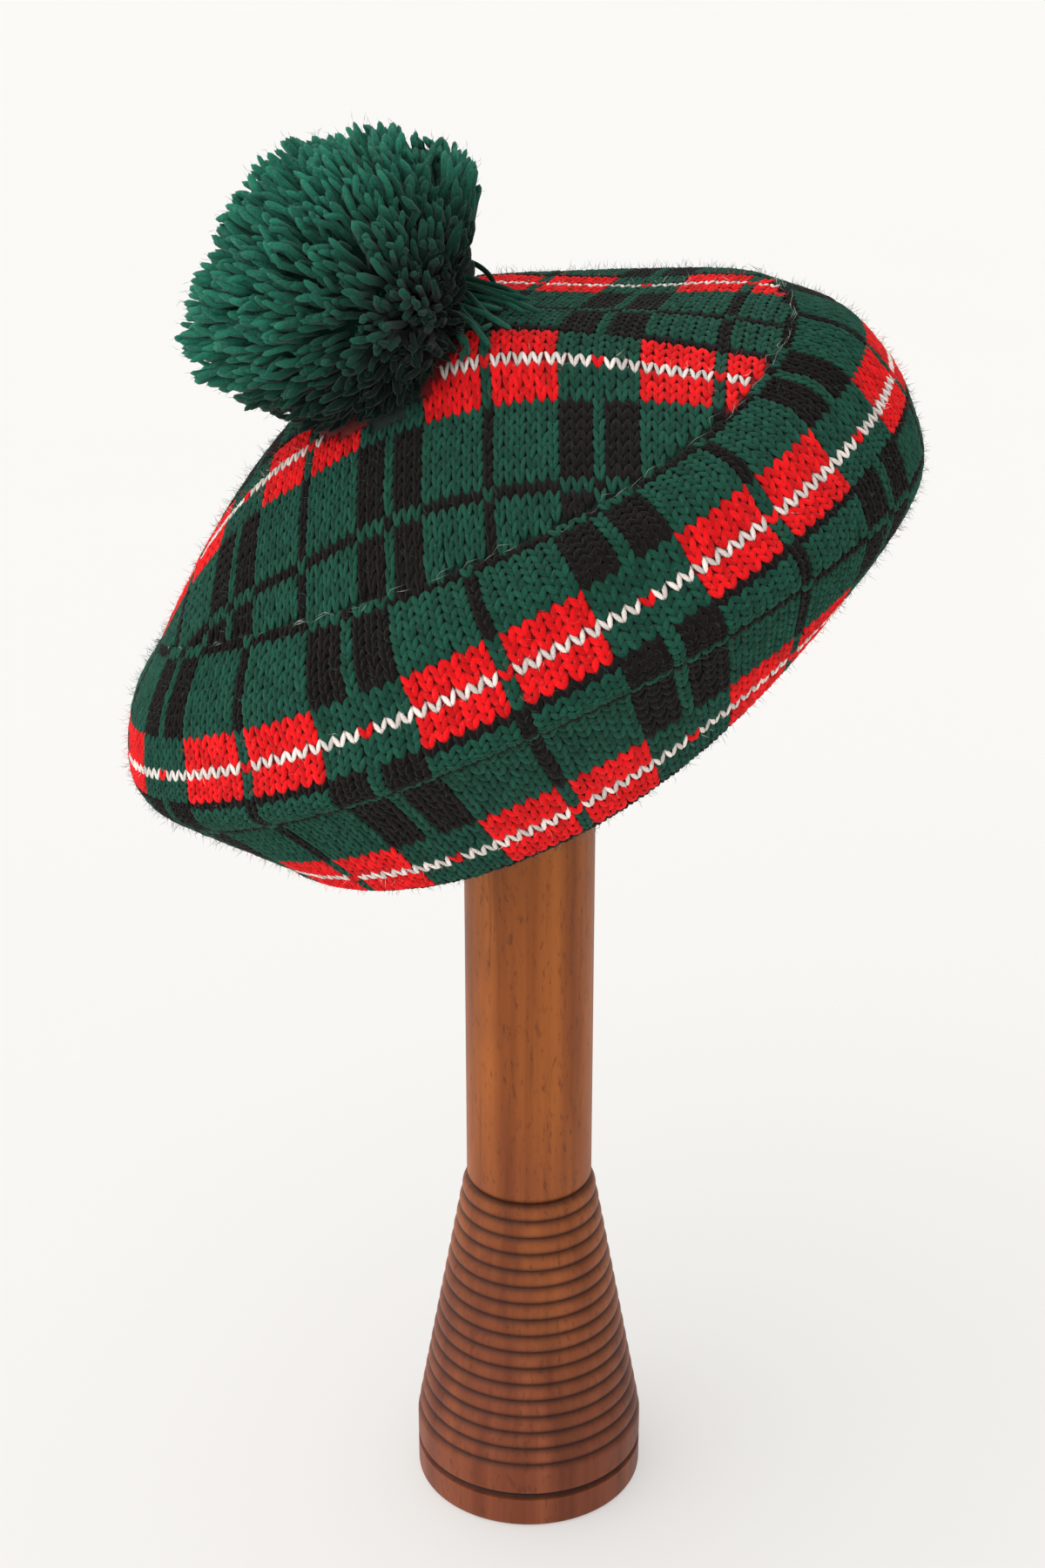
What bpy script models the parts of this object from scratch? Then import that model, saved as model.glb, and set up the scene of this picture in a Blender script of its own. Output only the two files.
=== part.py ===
"""A knitted tartan tam o shanter with a large yarn pompom, resting on a turned wooden stand.

Units are metres and Z is up. The origin is the middle of the stand's foot, on the surface it
stands on. The hat is worked out in its own frame, whose axis leans over to the left (-X): across
and back run over the hat's open plane, and up is its axis.
"""

import math
from collections import namedtuple

import bpy
import bmesh
import numpy as np
from mathutils import Matrix, Vector

CLEARANCE = 0.0003          # gap kept between neighbouring pieces
CLOTH = 0.003               # thickness of the knitted cloth

# Stand, turned from one piece of wood
STAND_HEIGHT = 0.457
SHAFT_RADIUS = 0.02335
FOOT_RADIUS = 0.0432
FLARE_TOP = 0.129           # where the flared foot starts, under its first groove
FLARE_FOOT = 0.0255         # below this the foot is a plain cylinder
FLARE_SHOULDER = 0.0012     # how far the flare's top stands out from the shaft
GROOVE_COUNT = 17
FIRST_GROOVE = 0.0276
GROOVE_PITCH = 0.00638
GROOVE_WIDTH = 0.0024
GROOVE_DEPTH = 0.0011
DEEP_GROOVE = 0.0139        # height of the single deeper groove near the foot
DEEP_GROOVE_WIDTH = 0.0032
DEEP_GROOVE_DEPTH = 0.0019
FOOT_CHAMFER = 0.0022
TOP_ROUNDING = 0.005
STAND_SIDES = 28

# Hat
BRIM_RADIUS = 0.139         # round the middle stripe, where the hat is near its widest
BODY_DEPTH = 0.086          # from the crown seam down to the underside
CROWN_RISE = 0.0792         # from the middle stripe up to the crown's middle
CROWN_FULLNESS = 1.78       # 1 is a cone, 2 a dome
OPENING_RADIUS = 0.0885     # where the head goes in
BAND_HEIGHT = 0.025
TILT_LEFT = math.radians(27.0)
TILT_FRONT = math.radians(2.0)
POST_ACROSS = 0.045         # where the post meets the crown, right of its middle
POST_BACK = 0.001
SEAT_FLAT = 1.15            # crown lies flat on the post out to this share of the shaft's radius
SEAT_BLEND = 3.2            # and has its own dome again from this share outwards
HAT_SIDES = 48
CROWN_STEPS = 9
SECTION_STEPS = 2           # rings of points for each section of the side piece

# Each row is one ring of the hat. Reach is a share of BRIM_RADIUS, rise a share of BODY_DEPTH.
# The other columns add to that ring's reach or rise towards the right, towards the back, as an
# oval (right and left against front and back), or skewed (front left and back right).
Section = namedtuple(
    "Section",
    "name reach reach_right reach_back reach_oval reach_skew "
    "rise rise_right rise_back rise_oval rise_skew",
)
HAT_SECTIONS = (
    Section("seam", 0.838, 0.003, 0.007, 0.012, -0.014, 0.345, 0.057, 0.026, 0.005, 0.080),
    Section("shoulder", 0.948, 0.000, 0.007, 0.018, -0.001, 0.192, 0.030, 0.020, 0.007, 0.023),
    Section("stripe", 1.000, -0.021, 0.014, 0.033, -0.005, 0.003, 0.017, 0.036, -0.003, 0.024),
    Section("rim", 1.030, -0.026, 0.008, 0.011, -0.006, -0.180, -0.003, 0.006, 0.022, 0.013),
    Section("turn", 0.985, -0.010, 0.010, 0.010, -0.002, -0.345, -0.010, -0.030, -0.020, 0.020),
    Section("low_stripe", 0.863, 0.001, -0.002, 0.010, 0.014, -0.557, 0.000, 0.024, 0.045, -0.027),
    Section("underside", 0.785, -0.028, -0.004, 0.002, 0.010, -0.651, 0.038, 0.020, 0.080, -0.020),
)
OPENING_RISE = -0.645

# Pompom
POMPOM_RADIUS = 0.049       # to the tips of the yarn
POMPOM_CORE = 0.70          # share of that radius that is the solid head of the locks
POMPOM_LIFT = 0.020         # its middle above the crown
POMPOM_REST = 0.0011        # gap under it, which its flat faces need over the rounded crown
POMPOM_ACROSS = -0.003
POMPOM_BACK = -0.025
LOCK_TAPER = 0.55
LOCK_SPACING = 0.18         # share of a lock's foot left free round it
SHORTEST_LOCK = 0.85        # share of its free reach, below which the yarn is pressed flat
POMPOM_DETAIL = 3           # icosphere divisions: 3 gives 320 locks

# Bulges and hollows of the pompom's outline, in hat directions. Reach is a share of its radius.
Lobe = namedtuple("Lobe", "across back up width reach")
POMPOM_LOBES = (
    Lobe(0.95, 0.0, 0.31, 0.42, 0.15),
    Lobe(-0.31, 0.0, 0.95, 0.45, -0.11),
    Lobe(-0.99, -0.2, -0.07, 0.50, 0.10),
    Lobe(0.90, 0.0, -0.45, 0.30, -0.18),
    Lobe(0.35, 0.1, 0.93, 0.25, 0.04),
    Lobe(0.0, -1.0, -0.2, 0.50, 0.04),
    Lobe(-0.2, 1.0, 0.2, 0.50, 0.03),
)

WOOD = ((0.33, 0.125, 0.048, 1.0), 0.42)
TARTAN = ((0.022, 0.085, 0.065, 1.0), 0.95)
BAND_YARN = ((0.014, 0.062, 0.046, 1.0), 0.95)
POMPOM_YARN = ((0.018, 0.095, 0.062, 1.0), 0.95)


def clear_scene():
    for item in list(bpy.data.objects):
        bpy.data.objects.remove(item, do_unlink=True)


def material(name, look):
    colour, roughness = look
    made = bpy.data.materials.new(name)
    made.use_nodes = True
    shader = made.node_tree.nodes["Principled BSDF"]
    shader.inputs["Base Color"].default_value = colour
    shader.inputs["Roughness"].default_value = roughness
    shader.inputs["Metallic"].default_value = 0.0
    return made


def add_object(name, mesh, look, collection):
    piece = bpy.data.objects.new(name, mesh)
    collection.objects.link(piece)
    mesh.materials.append(material(name, look))
    return piece


def circle_angles():
    return np.arange(HAT_SIDES) * (2 * math.pi / HAT_SIDES)


def hat_axes():
    """Directions of the hat's frame in the world: across to the right, to the back, and up."""
    up = Vector((
        -math.sin(TILT_LEFT),
        math.sin(TILT_FRONT) * math.cos(TILT_LEFT),
        math.cos(TILT_FRONT) * math.cos(TILT_LEFT),
    ))
    across = Vector((0, 1, 0)).cross(up).normalized()
    back = up.cross(across)
    return across, back, up


def section_waves(angles):
    """How much of each column a ring takes at each angle."""
    return np.stack([
        np.ones_like(angles), np.cos(angles), np.sin(angles), np.cos(2 * angles), np.sin(2 * angles),
    ])


def section_ring(section, angles):
    """Reach and rise of one section at each angle, in metres."""
    waves = section_waves(angles)
    reach = np.array(section[1:6]) @ waves * BRIM_RADIUS
    rise = np.array(section[6:11]) @ waves * BODY_DEPTH
    return reach, rise


def dome_rise(across, back):
    """Height of the crown before it settles on the post."""
    angle = np.arctan2(back, across)
    seam_reach, seam_rise = section_ring(HAT_SECTIONS[0], angle)
    share = np.hypot(across, back) / seam_reach
    return seam_rise + (CROWN_RISE - seam_rise) * (1 - share ** CROWN_FULLNESS)


def crown_rise(across, back):
    """Height of the crown's outer face: a dome that lies flat where the post holds it up."""
    across = np.asarray(across, float)
    back = np.asarray(back, float)
    to_right, to_back, up = hat_axes()
    seat = dome_rise(np.array([POST_ACROSS]), np.array([POST_BACK]))[0]
    level = seat - ((across - POST_ACROSS) * to_right.z + (back - POST_BACK) * to_back.z) / up.z
    away = np.hypot(across - POST_ACROSS, back - POST_BACK) / SHAFT_RADIUS
    blend = np.clip((away - SEAT_FLAT) / (SEAT_BLEND - SEAT_FLAT), 0, 1)
    blend = blend * blend * (3 - 2 * blend)
    dome = dome_rise(across, back)
    return level + (dome - level) * blend


def hat_centre():
    """Where the hat's frame sits, so that the crown rests on the post."""
    to_right, to_back, up = hat_axes()
    rise = float(crown_rise(POST_ACROSS, POST_BACK))
    contact = Vector((0, 0, STAND_HEIGHT + CLEARANCE + CLOTH))
    return contact - POST_ACROSS * to_right - POST_BACK * to_back - rise * up


def smooth_rings(rings, steps):
    """Points on a smooth curve through the rings, steps of them for each ring (Catmull-Rom)."""
    rings = np.asarray(rings)
    ends = np.concatenate([[2 * rings[0] - rings[1]], rings, [2 * rings[-1] - rings[-2]]])
    out = []
    for index in range(1, len(rings)):
        before, start, stop, after = ends[index - 1:index + 3]
        for step in range(steps):
            t = step / steps
            out.append(0.5 * (
                2 * start + (stop - before) * t
                + (2 * before - 5 * start + 4 * stop - after) * t ** 2
                + (3 * start - before - 3 * stop + after) * t ** 3
            ))
    out.append(rings[-1])
    return np.array(out)


def ring_points(reach, rise, angles):
    return np.stack([reach * np.cos(angles), reach * np.sin(angles), rise], axis=-1)


def crown_rings():
    """Outer face of the crown as rings of points, from its middle out to the seam."""
    angles = circle_angles()
    seam_reach, seam_rise = section_ring(HAT_SECTIONS[0], angles)
    rings = []
    for step in range(1, CROWN_STEPS):
        reach = seam_reach * step / CROWN_STEPS
        across, back = reach * np.cos(angles), reach * np.sin(angles)
        rings.append(ring_points(reach, crown_rise(across, back), angles))
    rings.append(ring_points(seam_reach, seam_rise, angles))
    return np.array(rings)


def side_rings():
    """Outer face of the side piece, from the seam over the rim and in to the head opening."""
    angles = circle_angles()
    rings = [ring_points(*section_ring(section, angles), angles) for section in HAT_SECTIONS]
    underside_rise = rings[-1][:, 2]
    opening_rise = underside_rise + (OPENING_RISE - HAT_SECTIONS[-1].rise) * BODY_DEPTH
    opening_reach = np.full(HAT_SIDES, OPENING_RADIUS + CLEARANCE / 2)
    rings.append(ring_points(opening_reach, opening_rise, angles))
    return smooth_rings(rings, SECTION_STEPS)


def ring_normals(rings):
    """Outward directions over a grid of rings that close on themselves."""
    down = np.gradient(rings, axis=0)
    around = np.roll(rings, -1, axis=1) - np.roll(rings, 1, axis=1)
    normals = np.cross(down, around)
    return normals / np.linalg.norm(normals, axis=-1, keepdims=True)


def hat_faces():
    """Outer and inner faces of the crown and the side piece, parted by a gap at their seam."""
    crown, side = crown_rings(), side_rings()
    normals = ring_normals(np.concatenate([crown, side[1:]]))
    crown_normals, side_normals = normals[:len(crown)], normals[len(crown) - 1:]
    along = side[1] - crown[-2]
    along /= np.linalg.norm(along, axis=-1, keepdims=True)
    crown_inner, side_inner = crown - CLOTH * crown_normals, side - CLOTH * side_normals
    for face, row, step in ((crown, -1, -0.5), (crown_inner, -1, -0.5), (side, 0, 0.5), (side_inner, 0, 0.5)):
        face[row] = face[row] + step * CLEARANCE * along
    side_inner[-1, :, :2] = side[-1, :, :2]
    return crown, crown_inner, side, side_inner


def to_world(points):
    """Moves points from the hat's frame into the world."""
    to_right, to_back, up = hat_axes()
    turn = Matrix((to_right, to_back, up))
    return np.asarray(points) @ np.array(turn) + np.array(hat_centre())


def lofted_mesh(name, rings, start_pole=None, end_pole=None):
    """Closed mesh through rings of points, capped by poles or joined from last ring to first."""
    mesh_data = bmesh.new()
    loops = [[mesh_data.verts.new(point) for point in to_world(ring)] for ring in rings]
    count = len(loops[0])
    pairs = list(zip(loops, loops[1:]))
    if start_pole is None:
        pairs.append((loops[-1], loops[0]))
    for first, second in pairs:
        for index in range(count):
            following = (index + 1) % count
            mesh_data.faces.new((first[index], second[index], second[following], first[following]))
    if start_pole is not None:
        top = mesh_data.verts.new(to_world([start_pole])[0])
        bottom = mesh_data.verts.new(to_world([end_pole])[0])
        for index in range(count):
            following = (index + 1) % count
            mesh_data.faces.new((top, loops[0][index], loops[0][following]))
            mesh_data.faces.new((bottom, loops[-1][following], loops[-1][index]))
    bmesh.ops.recalc_face_normals(mesh_data, faces=mesh_data.faces)
    mesh = bpy.data.meshes.new(name)
    mesh_data.to_mesh(mesh)
    mesh_data.free()
    mesh.shade_smooth()
    return mesh


def make_crown(collection):
    outer, inner, _, _ = hat_faces()
    top = float(crown_rise(0, 0))
    rings = list(outer) + list(inner[::-1])
    mesh = lofted_mesh("crown", rings, (0, 0, top), (0, 0, top - CLOTH))
    add_object("crown", mesh, TARTAN, collection)


def make_side_piece(collection):
    _, _, outer, inner = hat_faces()
    mesh = lofted_mesh("side_piece", list(outer) + list(inner[::-1]))
    add_object("side_piece", mesh, TARTAN, collection)


def make_head_band(collection):
    """The band inside the opening, turned up into the hat."""
    angles = circle_angles()
    opening = side_rings()[-1]
    outer_reach = np.full(HAT_SIDES, OPENING_RADIUS - CLEARANCE / 2)
    inner_reach = outer_reach - CLOTH
    low, high = opening[:, 2], opening[:, 2] + BAND_HEIGHT
    rings = [
        ring_points(outer_reach, high, angles),
        ring_points(outer_reach, (low + high) / 2, angles),
        ring_points(outer_reach, low, angles),
        ring_points(inner_reach, low, angles),
        ring_points(inner_reach, (low + high) / 2, angles),
        ring_points(inner_reach, high, angles),
    ]
    add_object("head_band", lofted_mesh("head_band", rings), BAND_YARN, collection)


def pompom_reach(direction):
    """Distance from the pompom's middle to the tips of its yarn, along a hat direction."""
    reach = 1.0
    for lobe in POMPOM_LOBES:
        towards = Vector((lobe.across, lobe.back, lobe.up)).normalized()
        turn = direction.angle(towards)
        reach += lobe.reach * math.exp(-((turn / lobe.width) ** 2))
    return reach * POMPOM_RADIUS


def reach_above_crown(middle, direction, reach):
    """Shortens a reach so that its tip stays just above the crown."""
    steps = 40
    for step in range(1, steps + 1):
        tip = middle + direction * (reach * step / steps)
        if tip.z < float(crown_rise(tip.x, tip.y)) + POMPOM_REST:
            return reach * (step - 1) / steps
    return reach


def make_pompom(collection):
    """A head of yarn with its locks drawn out of it, pressed flat where it lies on the crown."""
    middle_rise = float(crown_rise(POMPOM_ACROSS, POMPOM_BACK)) + POMPOM_LIFT
    middle = Vector((POMPOM_ACROSS, POMPOM_BACK, middle_rise))
    mesh_data = bmesh.new()
    bmesh.ops.create_icosphere(mesh_data, subdivisions=POMPOM_DETAIL, radius=1.0)
    locks = []
    for face in mesh_data.faces:
        direction = face.calc_center_median().normalized()
        free = pompom_reach(direction)
        reach = reach_above_crown(middle, direction, free)
        if reach > free * SHORTEST_LOCK:
            locks.append((face, direction, reach))
    for vertex in mesh_data.verts:
        direction = vertex.co.normalized()
        reach = reach_above_crown(middle, direction, pompom_reach(direction))
        vertex.co = middle + direction * (reach * POMPOM_CORE)
    bmesh.ops.inset_individual(mesh_data, faces=[lock[0] for lock in locks], thickness=0.0)
    for foot, direction, reach in locks:
        heart = foot.calc_center_median()
        for vertex in foot.verts:
            vertex.co = heart + (vertex.co - heart) * (1 - LOCK_SPACING)
    for foot, direction, reach in locks:
        drawn = bmesh.ops.extrude_discrete_faces(mesh_data, faces=[foot])["faces"][0]
        heart = drawn.calc_center_median()
        tip = middle + direction * reach
        for vertex in drawn.verts:
            vertex.co = tip + (vertex.co - heart) * LOCK_TAPER
    for vertex in mesh_data.verts:
        floor = float(crown_rise(vertex.co.x, vertex.co.y)) + POMPOM_REST
        vertex.co.z = max(vertex.co.z, floor)
    for vertex, place in zip(mesh_data.verts, to_world([tuple(v.co) for v in mesh_data.verts])):
        vertex.co = place
    mesh = bpy.data.meshes.new("pompom")
    mesh_data.to_mesh(mesh)
    mesh_data.free()
    add_object("pompom", mesh, POMPOM_YARN, collection)


def foot_radius(height):
    """Radius of the stand at a height, without its grooves."""
    if height >= FLARE_TOP:
        return SHAFT_RADIUS
    if height <= FLARE_FOOT:
        return FOOT_RADIUS
    share = (height - FLARE_FOOT) / (FLARE_TOP - FLARE_FOOT)
    return FOOT_RADIUS + (SHAFT_RADIUS + FLARE_SHOULDER - FOOT_RADIUS) * share


def groove_points(height, width, depth):
    """A groove's three profile points, from its upper lip down to its lower one."""
    return [
        (foot_radius(height + width / 2), height + width / 2),
        (foot_radius(height) - depth, height),
        (foot_radius(height - width / 2), height - width / 2),
    ]


def stand_profile():
    """Outer line of the stand from the middle of its top down to the middle of its foot."""
    points = [(0.0, STAND_HEIGHT)]
    for step in range(4):
        turn = step / 3 * math.pi / 2
        inset = TOP_ROUNDING * (1 - math.sin(turn))
        points.append((SHAFT_RADIUS - inset, STAND_HEIGHT - TOP_ROUNDING * (1 - math.cos(turn))))
    for index in reversed(range(GROOVE_COUNT)):
        height = FIRST_GROOVE + index * GROOVE_PITCH
        points += groove_points(height, GROOVE_WIDTH, GROOVE_DEPTH)
    points.append((FOOT_RADIUS, FLARE_FOOT))
    points += groove_points(DEEP_GROOVE, DEEP_GROOVE_WIDTH, DEEP_GROOVE_DEPTH)
    points += [(FOOT_RADIUS, FOOT_CHAMFER), (FOOT_RADIUS - FOOT_CHAMFER, 0.0), (0.0, 0.0)]
    return points


def make_stand(collection):
    points = [(radius, 0.0, height) for radius, height in stand_profile()]
    edges = [(index, index + 1) for index in range(len(points) - 1)]
    mesh = bpy.data.meshes.new("turned_stand")
    mesh.from_pydata(points, edges, [])
    stand = add_object("turned_stand", mesh, WOOD, collection)
    screw = stand.modifiers.new("turned", "SCREW")
    screw.steps = STAND_SIDES
    screw.render_steps = STAND_SIDES
    screw.use_merge_vertices = True
    screw.merge_threshold = 0.0001


def main():
    clear_scene()
    collection = bpy.data.collections.new("tam_o_shanter_on_stand")
    bpy.context.scene.collection.children.link(collection)
    make_stand(collection)
    make_crown(collection)
    make_side_piece(collection)
    make_head_band(collection)
    make_pompom(collection)


main()
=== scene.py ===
"""A knitted tartan tam o shanter with a big yarn pompom, hanging on a turned wooden stand.

Every stitch of the tartan is laid on the hat's own surface in the colour that the chart gives it.
Units are metres. The hat is worked out in its own leaning frame: across to the right, to the
back, and up along its axis.
"""

import math
from collections import namedtuple

import bpy
import numpy as np
from mathutils import Matrix, Vector


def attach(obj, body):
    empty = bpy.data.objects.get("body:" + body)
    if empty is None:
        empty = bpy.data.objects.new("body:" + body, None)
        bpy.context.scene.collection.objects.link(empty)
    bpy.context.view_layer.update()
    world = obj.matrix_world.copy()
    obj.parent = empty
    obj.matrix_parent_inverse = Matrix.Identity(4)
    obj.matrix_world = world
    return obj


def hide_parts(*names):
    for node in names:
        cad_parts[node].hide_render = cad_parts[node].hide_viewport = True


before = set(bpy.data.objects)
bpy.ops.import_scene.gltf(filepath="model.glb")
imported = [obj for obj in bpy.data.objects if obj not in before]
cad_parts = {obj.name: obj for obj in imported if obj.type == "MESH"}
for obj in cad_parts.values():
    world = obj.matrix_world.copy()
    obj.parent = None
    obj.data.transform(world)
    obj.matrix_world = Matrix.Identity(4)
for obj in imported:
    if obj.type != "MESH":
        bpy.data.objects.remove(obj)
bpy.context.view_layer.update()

# The hat's form, as the solids have it
CLEARANCE = 0.0003
CLOTH = 0.003
STAND_HEIGHT = 0.457
SHAFT_RADIUS = 0.02335
BRIM_RADIUS = 0.139
BODY_DEPTH = 0.086
CROWN_RISE = 0.0792
CROWN_FULLNESS = 1.78
OPENING_RADIUS = 0.0885
OPENING_RISE = -0.645
BAND_HEIGHT = 0.025
TILT_LEFT = math.radians(27.0)
TILT_FRONT = math.radians(2.0)
POST_ACROSS = 0.045
POST_BACK = 0.001
SEAT_FLAT = 1.15
SEAT_BLEND = 3.2

# Rings of the hat: reach as a share of BRIM_RADIUS and rise as a share of BODY_DEPTH, each as a
# mean, then what is added towards the right, towards the back, as an oval, and skewed
HAT_SECTIONS = (
    ((0.838, 0.003, 0.007, 0.012, -0.014), (0.345, 0.057, 0.026, 0.005, 0.080)),
    ((0.948, 0.000, 0.007, 0.018, -0.001), (0.192, 0.030, 0.020, 0.007, 0.023)),
    ((1.000, -0.021, 0.014, 0.033, -0.005), (0.003, 0.017, 0.036, -0.003, 0.024)),
    ((1.030, -0.026, 0.008, 0.011, -0.006), (-0.180, -0.003, 0.006, 0.022, 0.013)),
    ((0.985, -0.010, 0.010, 0.010, -0.002), (-0.345, -0.010, -0.030, -0.020, 0.020)),
    ((0.863, 0.001, -0.002, 0.010, 0.014), (-0.557, 0.000, 0.024, 0.045, -0.027)),
    ((0.785, -0.028, -0.004, 0.002, 0.010), (-0.651, 0.038, 0.020, 0.080, -0.020)),
)
STRIPE_SECTION = 2
LOW_STRIPE_SECTION = 5

# The knit: a repeat of the tartan is 20 wales wide and 21 courses tall
REPEAT_WALES = 20
REPEAT_COURSES = 21
SIDE_WALES = 180
SIDE_COURSES = 44
SIDE_STRIPE_COURSE = 11          # course of the white line on the stripe section
SIDE_FIRST_WALE = math.radians(-89.3)
SIDE_TWIST = math.radians(-1.3)  # turn of the wales from one white line to the next
CROWN_WALE = 0.00318
CROWN_COURSE_FRONT = 0.00410     # in front of the crown's first white line
CROWN_COURSE_BACK = 0.00352
CROWN_ORIGIN = (0.091, -0.062)   # where the first black line crosses that white line
CROWN_ROW_TURN = math.radians(-8.7)
CROWN_WALE_TURN = math.radians(15.5)
CROWN_BEND_WALE = -40            # left of this wale the rows bend towards the back
CROWN_BEND = 0.00098             # by this much for each wale
CROWN_EDGE = 0.997               # reach of its stitches, as a share of the seam's
CROWN_WALES = (-90, 30)          # wales and courses that between them cover the crown
CROWN_COURSES = (-30, 60)
LEG_KNOTS = (                    # place and radius down one leg of a stitch
    ((0.05, -0.92, -0.35), 0.0),
    ((0.13, -0.46, 0.20), 0.210),
    ((0.25, 0.04, 0.20), 0.260),
    ((0.36, 0.52, -0.15), 0.222),
    ((0.45, 0.95, -0.95), 0.0),
)
LEG_SIDES = 5
DARK_LEG_SIDES = 4
LEG_THICKNESS = 0.00062
LEG_LIFT = -0.0003
WHITE_LEG_WIDTH = 0.80
BACKING_DEPTH = 0.0010
# painted shade: the chart's colours on the backing are darkened to this share
BACKING_SHADE = 0.45
BACKING_RINGS = 12
SIDE_GRID = (144, 35)            # faces of each backing, round the hat and down it
CROWN_GRID = (144, 26)
BAND_RIBS = 90
BAND_THICKNESS = 0.0018

# Fuzz
HAIRS_PER_STITCH = 1.75
HAIR_RADIUS = 0.000065
HAIR_LENGTHS = (0.0016, 0.0054)
SEAM_THREADS = 110
SEAM_THREAD_RADIUS = 0.00014
SEAM_THREAD_LENGTHS = (0.005, 0.011)
POMPOM_HAIR_LENGTHS = (0.0015, 0.0045)

# Pompom
POMPOM_RADIUS = 0.049
POMPOM_LIFT = 0.020
POMPOM_ACROSS = -0.003
POMPOM_BACK = -0.025
YARN_COUNT = 2850
YARN_RADIUS = 0.00119
YARN_SHOWING = 0.026
YARN_TURNS = 1.6
YARN_SIDES = 5
YARN_SHAPE = ((0, 0), (0.10, 0.85), (0.45, 1.0), (0.74, 1.03), (0.89, 1.04), (0.97, 0.72), (1, 0))
YARN_LEAN = 0.35                 # how far the yarns lie down away from the tie
CLUMP_COUNT = 120
CLUMP_PULL = 0.17
PAINTED_SHADE_REACH = (0.028, 0.068)      # distance of a tip from the tie, from painted shade to full colour
PAINTED_SHADE_RISE = (0.004, 0.056)       # height of a tip above the crown, from painted shade to full colour
HEART_SHIFT = (0.28, -0.18, -0.27)  # of the tie from the pompom's middle, in pompom radii
HIDDEN_REACH = 0.031             # the crown has no stitches this close under the pompom's middle
HEART_DEPTH = 0.012              # of the head of yarn beneath the tips, darkened as painted shade
LOOSE_START = (0.017, -0.022)
LOOSE_COUNT = 18
LOOSE_REACH = (0.022, 0.033)
TIE_LOOP = (
    (0.0230, 0.0046, 0.0885), (0.0282, 0.0046, 0.0903), (0.0312, 0.0051, 0.0900),
    (0.0341, 0.0045, 0.0867), (0.0359, 0.0035, 0.0828), (0.0361, 0.0022, 0.0789),
    (0.0352, 0.0010, 0.0768), (0.0310, -0.0040, 0.0790),
)
TIE_RADIUS = 0.0009

Lobe = namedtuple("Lobe", "across back up width reach")
POMPOM_LOBES = (
    Lobe(0.94, 0.06, -0.33, 0.42, -0.46),
    Lobe(0.94, 0.26, 0.24, 0.36, 0.22),
    Lobe(0.64, 0.35, 0.69, 0.30, 0.06),
    Lobe(0.26, 0.35, 0.90, 0.28, -0.01),
    Lobe(-0.49, 0.19, 0.85, 0.42, -0.16),
    Lobe(-0.98, -0.16, 0.06, 0.42, 0.15),
    Lobe(-0.81, -0.32, -0.50, 0.32, -0.08),
    Lobe(-0.34, -0.36, -0.87, 0.32, 0.04),
    Lobe(0.20, -0.28, -0.94, 0.36, -0.12),
    Lobe(0.75, -0.08, -0.65, 0.36, -0.24),
    Lobe(0.0, -1.0, -0.2, 0.50, 0.04),
    Lobe(-0.2, 1.0, 0.2, 0.50, 0.03),
)

# Stand
FOOT_RADIUS = 0.0432
FLARE_TOP = 0.129
FLARE_FOOT = 0.0255
FLARE_SHOULDER = 0.0012
GROOVE_COUNT = 17
FIRST_GROOVE = 0.0276
GROOVE_PITCH = 0.00638
GROOVE_DEPTH = 0.0011
DEEP_GROOVE = 0.0139
DEEP_GROOVE_WIDTH = 0.0032
DEEP_GROOVE_DEPTH = 0.0019
STREAK_ACROSS = 0.0155           # of the dark streak down the shaft's front
FOOT_CHAMFER = 0.0022
TOP_ROUNDING = 0.005
STAND_SIDES = 96

# Camera, room and light
CAMERA_PLACE = (-0.00249, -0.820, 0.629)
CAMERA_DROP = math.radians(22.6)
CAMERA_LENS = 57.97
ROOM_TINT = (1.0, 0.995, 0.98)
ROOM_LEFT = 1.48
ROOM_RIGHT = 0.50
WINDOW_PLACE = (-1.0, -0.9, 1.25)
WINDOW_POWER = 0.40
WINDOW_SPREAD = math.radians(60)
ROOM_SEEN = 0.95                 # brightness of the empty room behind the floor
FLOOR_SIZE = 40
FLOOR = (0.50, 0.493, 0.482)
FLOOR_TINT = (1.0, 0.99, 0.97)
FLOOR_GLOW = 0.42

# Colours
GREEN = (0.011, 0.078, 0.050)
BLACK = (0.010, 0.0075, 0.007)
RED = (0.90, 0.008, 0.011)
WHITE = (0.93, 0.85, 0.79)
KNIT_COLOURS = (GREEN, BLACK, RED, WHITE)
IS_GREEN, IS_BLACK, IS_RED, IS_WHITE = range(4)
GREEN_FLECK = (0.030, 0.16, 0.115)
BLACK_FLECK = (0.035, 0.035, 0.030)
RED_FLECK = (0.85, 0.06, 0.06)
WHITE_FLECK = (0.80, 0.66, 0.62)
KNIT_FUZZ = (
    ("green_fuzz", (0.045, 0.165, 0.120)),
    ("black_fuzz", (0.060, 0.085, 0.070)),
    ("red_fuzz", (0.80, 0.08, 0.08)),
    ("white_fuzz", (0.85, 0.74, 0.68)),
)
THREAD_COLOUR = (0.28, 0.34, 0.30)
BAND_GREEN = (0.0088, 0.0624, 0.040)
BAND_FLECK = (0.03, 0.16, 0.12)
POMPOM_GREEN = (0.019, 0.180, 0.116)
POMPOM_FLECK = (0.055, 0.26, 0.19)
POMPOM_FUZZ = (0.030, 0.17, 0.115)
SHAFT_WOOD = ((0.250, 0.064, 0.014), (0.430, 0.125, 0.026))
FOOT_WOOD = ((0.150, 0.035, 0.015), (0.275, 0.073, 0.030))
STREAK_WOOD = (0.130, 0.026, 0.009)
FLECK_WOOD = (0.085, 0.026, 0.012)
PORE_WOOD = (0.075, 0.022, 0.010)
BLOTCH_WOOD = (0.11, 0.034, 0.016)
# painted shade in the stand's grooves
GROOVE_SHADE = (0.022, 0.009, 0.007)


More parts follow.
